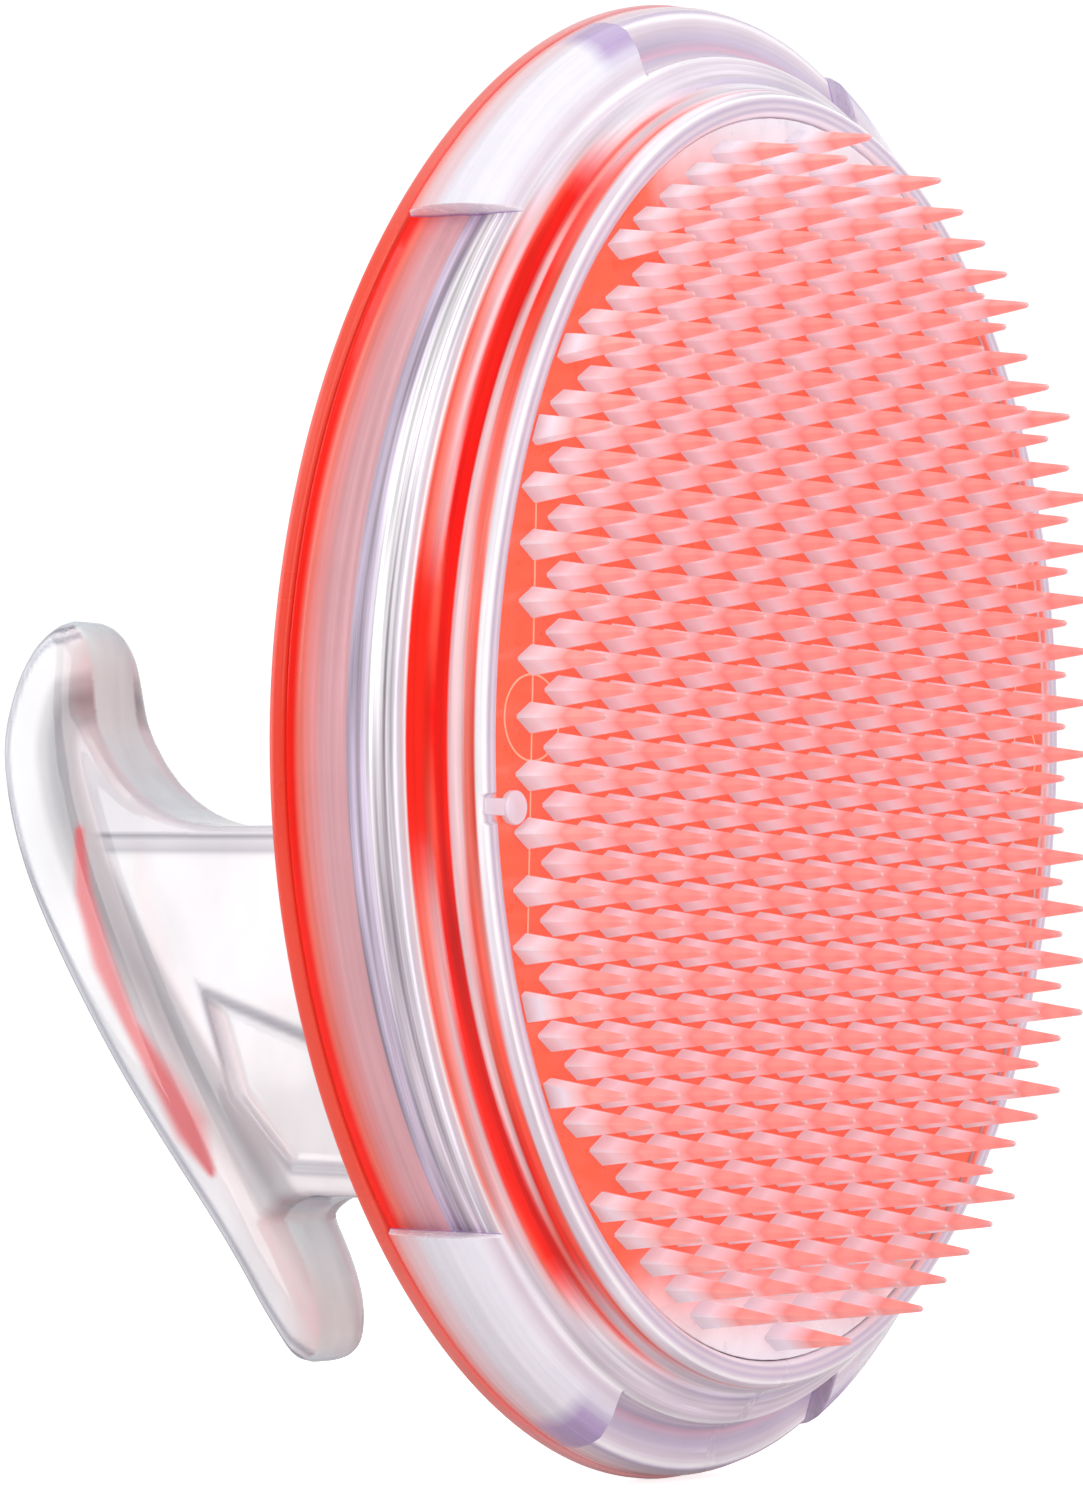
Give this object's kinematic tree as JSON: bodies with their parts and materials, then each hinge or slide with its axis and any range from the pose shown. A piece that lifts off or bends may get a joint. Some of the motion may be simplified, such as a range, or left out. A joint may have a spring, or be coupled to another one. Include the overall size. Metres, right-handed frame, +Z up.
{
  "type": "scalp massager brush",
  "caption": "Oval hand brush with tapered moulded bristles, a clear grip rim with finger recesses, a coral back and a bowed clear handle.",
  "frame": {"origin": "on the surface it stands on, under the centre of the brush's box: halfway between the bristle tips and the outside of the handle", "axes": "+Z up along the long axis of the oval, -Y out of the bristle face, +Y towards the handle, +X to the right seen from the bristle side"},
  "size_m": [0.0804, 0.0841, 0.1103],
  "materials": {
    "clear_bristles": "clear moulded plastic, glossy",
    "coral_insert": "coral moulded plastic",
    "clear_rim": "clear moulded plastic, polished outside",
    "coral_cover": "coral moulded plastic, glossy",
    "clear_handle": "thick clear moulded plastic, polished",
    "screw_steel": "plated steel"
  },
  "bodies": {
    "root": {"bristle_plate": "clear_bristles", "colour_insert": "coral_insert", "outer_rim": "clear_rim", "back_cover": "coral_cover", "handle": "clear_handle", "handle_screw_upper": "screw_steel", "handle_screw_lower": "screw_steel"}
  },
  "joints": []
}
